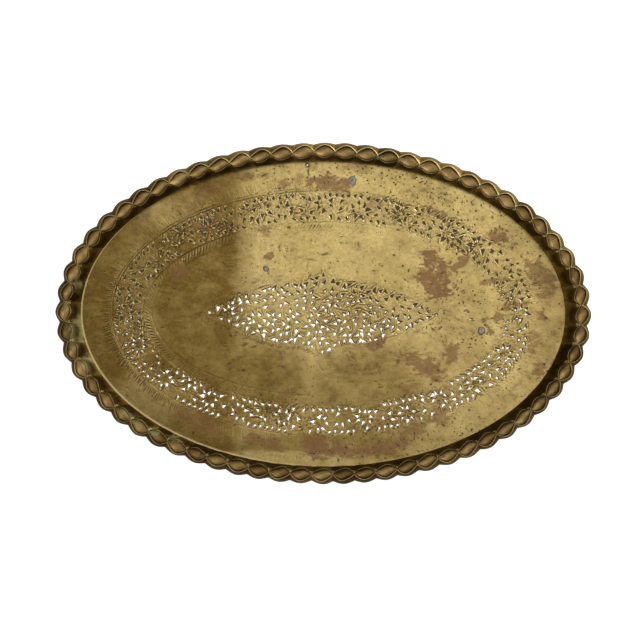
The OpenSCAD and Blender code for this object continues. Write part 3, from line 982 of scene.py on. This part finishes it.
def plugPiece(name, node, overlap, dome, uneven, edgeDirt, around=40):
    low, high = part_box(node)
    middle = (np.array(low[:2]) + np.array(high[:2])) / 2
    radius = (high[0] - low[0]) / 2
    level = sheetTop + bulge(middle[None])[0]
    dice = np.random.default_rng(len(node))
    a = np.arange(around) / around * 2 * np.pi
    wobble = 1 + uneven * (np.sin(2 * a + dice.uniform(0, 6)) + 0.6 * np.sin(3 * a + dice.uniform(0, 6))
                           + 0.4 * np.sin(5 * a + dice.uniform(0, 6)))
    # rings from the underside's rim up over the head to its middle: radius, height, grime
    neck = radius - 0.05 * mm
    head = (radius + overlap) * wobble
    rings = [(np.full(around, neck * 0.4), 0.05 * mm, 0.4), (np.full(around, neck), 0.0, 0.8),
             (np.full(around, neck), level - 0.02 * mm, 1.0), (head, level + 0.02 * mm, 1.0),
             (head * 0.98, level + 0.3 * dome, 0.6 + edgeDirt),
             (head * 0.86, level + 0.7 * dome, 0.15 + edgeDirt),
             (head * 0.66, level + 0.9 * dome, 0.05 + 0.5 * edgeDirt), (head * 0.4, level + dome, 0.1),
             (head * 0.18, level + 0.94 * dome, 0.3)]
    points, grime = [], []
    for size, z, dirt in rings:
        z = np.full(around, z)
        if z[0] > level + 0.1 * mm:     # the head is lumpy
            z = level + (z - level) * (1 + 0.12 * np.sin(3 * a + 40 * size.mean() / mm))
        points.append(np.column_stack([middle[0] + size * np.cos(a), middle[1] + size * np.sin(a), z]))
        grime.append(np.full(around, dirt))
    points = np.concatenate(points + [[[*middle, 0.05 * mm], [*middle, level + 0.9 * dome]]])
    bottom, top = len(points) - 2, len(points) - 1
    faces = []
    for r in range(len(rings) - 1):
        for i in range(around):
            j = (i + 1) % around
            faces.append((r * around + i, r * around + j, (r + 1) * around + j, (r + 1) * around + i))
    last = (len(rings) - 1) * around
    for i in range(around):
        j = (i + 1) % around
        faces.append((bottom, j, i))
        faces.append((top, last + i, last + j))
    piece = newPiece(name, points, faces, [node])
    piece.data.set_sharp_from_angle(angle=math.radians(60))
    setMark(piece, "grime", np.concatenate(grime + [[0.4, 0.3]]))
    return piece


plugs = [plugPiece(name, *values) for name, values in solderPlugs.items()]

# finishes

class Thread:
    # wraps a socket, so that a sum written on it adds the Math nodes that work it out
    def __init__(self, socket):
        self.socket = socket

    def maths(self, operation, *values):
        node = self.socket.id_data.nodes.new("ShaderNodeMath")
        node.operation = operation
        for socket, value in zip(node.inputs, values):
            setSocket(socket, value)
        return Thread(node.outputs[0])

    def __add__(self, other):
        return self.maths("ADD", self, other)

    def __sub__(self, other):
        return self.maths("SUBTRACT", self, other)

    def __rsub__(self, other):
        return self.maths("SUBTRACT", other, self)

    def __mul__(self, other):
        return self.maths("MULTIPLY", self, other)

    __radd__ = __add__
    __rmul__ = __mul__

    def most(self, other):
        return self.maths("MAXIMUM", self, other)

    def least(self, other):
        return self.maths("MINIMUM", self, other)


def setSocket(socket, value):
    if isinstance(value, Thread):
        socket.id_data.links.new(value.socket, socket)
    else:
        socket.default_value = value


class Finish:
    # one material and the nodes that make it
    def __init__(self, name):
        self.material = bpy.data.materials.new(name)
        self.material.use_nodes = True
        self.tree = self.material.node_tree
        self.shader = self.tree.nodes["Principled BSDF"]

    def add(self, kind, settings=None, values=None, out=0):
        # settings come first, because they decide which sockets a node has
        node = self.tree.nodes.new(kind)
        for name, value in (settings or {}).items():
            setattr(node, name, value)
        for name, value in (values or {}).items():
            setSocket(node.inputs[name], value)
        return Thread(node.outputs[out])

    def spread(self, value, low, high, start=0.0, end=1.0, smooth=True):
        kind = "SMOOTHSTEP" if smooth else "LINEAR"
        return self.add("ShaderNodeMapRange", {"interpolation_type": kind},
                        {"Value": value, "From Min": low, "From Max": high,
                         "To Min": start, "To Max": end})

    def noise(self, scale, detail=4.0, rough=0.55, stretch=None, twist=0.0):
        where = self.place if stretch is None else self.add(
            "ShaderNodeMapping", {}, {"Vector": self.place, "Scale": stretch,
                                      "Rotation": (0, 0, math.radians(twist))})
        return self.add("ShaderNodeTexNoise", {}, {"Vector": where, "Scale": scale,
                                                   "Detail": detail, "Roughness": rough})

    def mix(self, share, first, second):
        # sockets 0, 6 and 7 are a colour mix's factor and its two colours, and output 2 its result
        return self.add("ShaderNodeMix", {"data_type": "RGBA"}, {0: share, 6: first, 7: second}, 2)

    def mark(self, name):
        return self.add("ShaderNodeAttribute", {"attribute_name": name}, out=2)

    def feed(self, socketName, value):
        setSocket(self.shader.inputs[socketName], value)


def colour(red, green, blue):
    # a colour as a screen shows it, turned into the light that it stands for
    return tuple(((c / 255 + 0.055) / 1.055) ** 2.4 for c in (red, green, blue)) + (1,)


brass = {
    "bright": colour(191, 169, 112),
    "plain": colour(158, 136, 81),
    "olive": colour(104, 81, 33),
    "stain": colour(126, 90, 54),
    "pit": colour(46, 32, 16),
    # dent is a dark grey painted into every dent as its shade; groove is the colour of dirt and of
    # painted shade; ridge is the colour of rubbed edges and of painted highlights
    "dent": colour(76, 70, 54),
    "groove": colour(76, 55, 20),
    "ridge": colour(222, 196, 140),
    "deposit": colour(156, 150, 92),
    "pitted": True,
    "tone": 0.0,            # 0 bright, 1 all olive
    "roughness": 0.4,
    "wearAndSheen": 0.68,
    "relief": 0.32,
}
cellBrass = dict(brass, plain=colour(150, 121, 72), bright=colour(182, 156, 103),
                 olive=colour(84, 61, 25), groove=colour(52, 35, 8), ridge=colour(220, 202, 140),
                 pitted=False, tone=0.3, wearAndSheen=0.85, roughness=0.6)
# a darker copy of the brass for the steep wall and the turned edge: painted shade for their steep sides
darkShadedBrass = dict(brass, plain=colour(114, 89, 36), bright=colour(150, 124, 62),
                 olive=colour(60, 41, 5), groove=colour(46, 30, 3), ridge=colour(214, 194, 132),
                 pitted=False, tone=0.5, wearAndSheen=0.8, roughness=0.52)


def brassTone(f, p):
    # from bright to olive
    tone = (f.mark("dullAndPaintedLight") + p["tone"] + (f.cloud - 0.5) * 0.75 + (f.broad - 0.5) * 0.7
            + (f.torn - 0.5) * 0.8 + (f.fine - 0.5) * 0.6 + (f.brushed - 0.5) * 0.2)
    f.tone = f.spread(tone, 0, 1, smooth=False)
    base = f.mix(f.spread(f.fine * 0.5 + f.broad * 0.5, 0.36, 0.66), p["plain"], p["bright"])
    return f.mix(f.tone, base, p["olive"])


def brassStains(f, p, base):
    # stains with ragged edges, and a faint mottle between them
    f.ragged = ((f.cloud - 0.5) * 2.4 + (f.torn - 0.5) * 3.2 + (f.fine - 0.5) * 1.2
                + (f.broad - 0.5) * 1.6)
    stain = f.spread(f.mark("stain") + f.ragged, -0.15, 0.3) * f.mark("stainStrength")
    stain = stain.most(f.spread(f.cloud * 0.5 + f.torn * 0.5, 0.55, 0.62) * 0.4)
    f.stain = stain * f.spread(f.fine, 0.3, 0.5, 0.6, 1.0) * f.spread(f.torn, 0.35, 0.55, 0.72, 1.0)
    return f.mix(f.stain * 0.9, base, p["stain"])


def brassPits(f, p, base):
    # pits and dark specks, and on the floor a field of smaller pits
    spots = f.add("ShaderNodeTexVoronoi", {"feature": "F1"}, {"Vector": f.place, "Scale": 95.0})
    pits = f.spread(spots + (f.fine - 0.5) * 0.9, 0.2, 0.06) * f.spread(f.torn, 0.5, 0.6)
    specks = f.spread(f.noise(420, 2, 0.5), 0.66, 0.72)
    f.pits = (pits + specks * 0.7).least(1.0)
    base = f.mix(f.pits * 0.85, base, p["pit"])
    if p["pitted"]:
        dots = f.add("ShaderNodeTexVoronoi", {"feature": "F1"}, {"Vector": f.place, "Scale": 190.0})
        f.pits = f.pits.most(f.spread(dots + (f.fine - 0.5) * 1.1, 0.25, 0.1) * f.spread(
            f.mark("pitted") * 0.3 + f.torn, 0.62, 0.76))
        base = f.mix(f.pits * 0.85, base, p["pit"])
    return base


def brassDirtAndShade(f, p, base):
    # pale deposits, dirt in the grooves, and painted shade in the dents, on the wall, in the cells and
    # on the turned edge
    f.deposit = f.spread(f.mark("deposit") + f.ragged * 0.8, -0.1, 0.5) * 0.75
    base = f.mix(f.deposit, base, p["deposit"])
    f.grime = f.mark("grime")
    dirt = f.grime + ((f.fine - 0.5) * 0.5 + (f.torn - 0.5) * 0.9) * f.spread(f.grime, 0.0, 0.3)
    base = f.mix(f.spread(dirt, 0.15, 1.0) * 0.88, base, p["groove"])
    # painted shade: where the mark runs highest, above all inside the dents, the colour turns to the
    # dark grey of a tear's shadow
    return f.mix(f.spread(f.grime, 0.85, 1.1) * 0.95, base, p["dent"])


def brassWearAndSheen(f, p, base):
    # what hands and polishing rub bright, together with painted highlights on the wall's fold and
    # pinches, the ridges and the lip, and two sets of scratches
    f.lines = (f.spread(f.scratch, 0.69, 0.74) + f.spread(f.crossed, 0.7, 0.75)).least(1.0)
    rubbedAndLit = f.mark("wearAndSheen") + (f.fine - 0.5) * 0.3 + (f.torn - 0.5) * 0.5
    f.shine = f.spread(rubbedAndLit, 0.12, 0.7) * p["wearAndSheen"]
    base = f.mix(f.shine, base, p["ridge"])
    return f.mix(f.lines * 0.3, base, p["bright"])


def agedBrass(name, p):
    f = Finish(name)
    f.place = f.add("ShaderNodeTexCoord", out=3)
    f.broad, f.cloud, f.fine = f.noise(9, 5, 0.6), f.noise(34, 6, 0.62), f.noise(260, 5, 0.65)
    f.grain = f.noise(1400, 3, 0.6)
    f.torn = f.noise(95, 7, 0.7, (1, 1.8, 1), 25)
    f.brushed = f.noise(30, 4, 0.7, (1, 14, 1), 12)
    f.scratch = f.noise(26, 3, 0.75, (1.0, 60, 1), -32)
    f.crossed = f.noise(24, 3, 0.75, (1.0, 55, 1), 50)
    base = brassTone(f, p)
    for layer in (brassStains, brassPits, brassDirtAndShade, brassWearAndSheen):
        base = layer(f, p, base)
    f.feed("Base Color", base)
    f.feed("Metallic", 0.96 - f.stain * 0.35 - f.pits * 0.4 - f.deposit * 0.6)
    f.feed("Roughness", p["roughness"] + (f.cloud - 0.5) * 0.3 + (f.grain - 0.5) * 0.2 + f.stain * 0.16
           + f.tone * 0.05 + f.grime * 0.15 - f.shine * 0.12 - f.lines * 0.08)
    relief = (f.fine * 0.35 + f.grain * 0.16 + f.cloud * 0.5 - f.pits * 0.5 + f.stain * 0.1
              + (f.scratch + f.crossed) * 0.28)
    f.feed("Normal", f.add("ShaderNodeBump", {}, {"Strength": p["relief"], "Distance": 0.6 * mm,
                                                  "Height": relief}))
    return f.material


solder = {
    "plain": colour(126, 114, 98),
    "bright": colour(166, 154, 138),
    "fleck": colour(104, 86, 66),
    "dirt": colour(72, 56, 42),
    "relief": 0.6,
}


def oldSolder(name, p):
    f = Finish(name)
    f.place = f.add("ShaderNodeTexCoord", out=3)
    cloud, fine = f.noise(240, 4, 0.6), f.noise(900, 4, 0.6)
    base = f.mix(f.spread(cloud, 0.35, 0.65), p["plain"], p["bright"])
    base = f.mix(f.spread(fine, 0.55, 0.68) * 0.5, base, p["fleck"])
    base = f.mix((f.mark("grime") * 0.75).least(0.95), base, p["dirt"])
    f.feed("Base Color", base)
    f.feed("Metallic", 0.45 - fine * 0.2)
    f.feed("Roughness", 0.55 + (cloud - 0.5) * 0.4)
    f.feed("Normal", f.add("ShaderNodeBump", {}, {"Strength": p["relief"], "Distance": 0.5 * mm,
                                                  "Height": cloud + fine * 0.4}))
    return f.material


floorFinish = agedBrass("aged brass", brass)
for piece in floorPieces:
    piece.data.materials.append(floorFinish)
cells.data.materials.append(agedBrass("tan cell brass", cellBrass))
darkShadedFinish = agedBrass("dark wall brass", darkShadedBrass)
turnedEdge.data.materials.append(darkShadedFinish)
wall.data.materials.append(darkShadedFinish)
solderFinish = oldSolder("old grey solder", solder)
for plug in plugs:
    plug.data.materials.append(solderFinish)
print("finished the brass and the solder")

# studio

studio = {
    "paperHalf": 6.0,                   # half the paper's side, in metres
    "paper": (0.95, 0.95, 0.95, 1),
    "paperGlow": 0.6,                   # lifts the paper to a plain white
    "air": (0.345, 0.34, 0.33, 1),
    # name: place, size, watts
    "lamps": {"overhead": ((0.3, 0.4, 2.8), (2.2, 1.8), 22),
              "key": ((2.3, 2.0, 1.7), (1.2, 1.2), 66),
              "fill": ((-2.2, -1.2, 1.6), (1.4, 1.2), 30)},
}
half = studio["paperHalf"]
paperMesh = bpy.data.meshes.new("studio_floor")
paperMesh.from_pydata([(-half, -half, 0), (half, -half, 0), (half, half, 0), (-half, half, 0)], [],
                      [(0, 1, 2, 3)])
studioFloor = bpy.data.objects.new("studio_floor", paperMesh)
bpy.context.scene.collection.objects.link(studioFloor)
paper = Finish("paper")
paper.feed("Base Color", studio["paper"])
paper.feed("Emission Color", (1, 1, 1, 1))
paper.feed("Emission Strength", studio["paperGlow"])
paperMesh.materials.append(paper.material)

view = {
    "height": 2.0,
    "focal": 83.1,
    "aside": (-4.5 * mm, -8.8 * mm),    # the camera stands a little off the tray's middle
    "roll": 0.4,                        # and is turned a little, in degrees
}
camera = bpy.data.cameras.new("camera")
camera.lens = view["focal"]
cameraObject = bpy.data.objects.new("camera", camera)
cameraObject.location = (*view["aside"], view["height"])
cameraObject.rotation_euler = (0, 0, math.radians(view["roll"]))
bpy.context.scene.collection.objects.link(cameraObject)
bpy.context.scene.camera = cameraObject

world = bpy.data.worlds.new("studio")
world.use_nodes = True
world.node_tree.nodes["Background"].inputs["Color"].default_value = studio["air"]
bpy.context.scene.world = world


def softLight(name, place, size, watts):
    lamp = bpy.data.lights.new(name, "AREA")
    lamp.shape = "RECTANGLE"
    lamp.size, lamp.size_y = size
    lamp.energy = watts
    holder = bpy.data.objects.new(name, lamp)
    holder.location = place
    holder.rotation_euler = (-Vector(place)).to_track_quat("-Z", "Y").to_euler()
    bpy.context.scene.collection.objects.link(holder)


for name, lampValues in studio["lamps"].items():
    softLight(name, *lampValues)
bpy.context.scene.view_settings.view_transform = "Standard"
print("lit the studio")
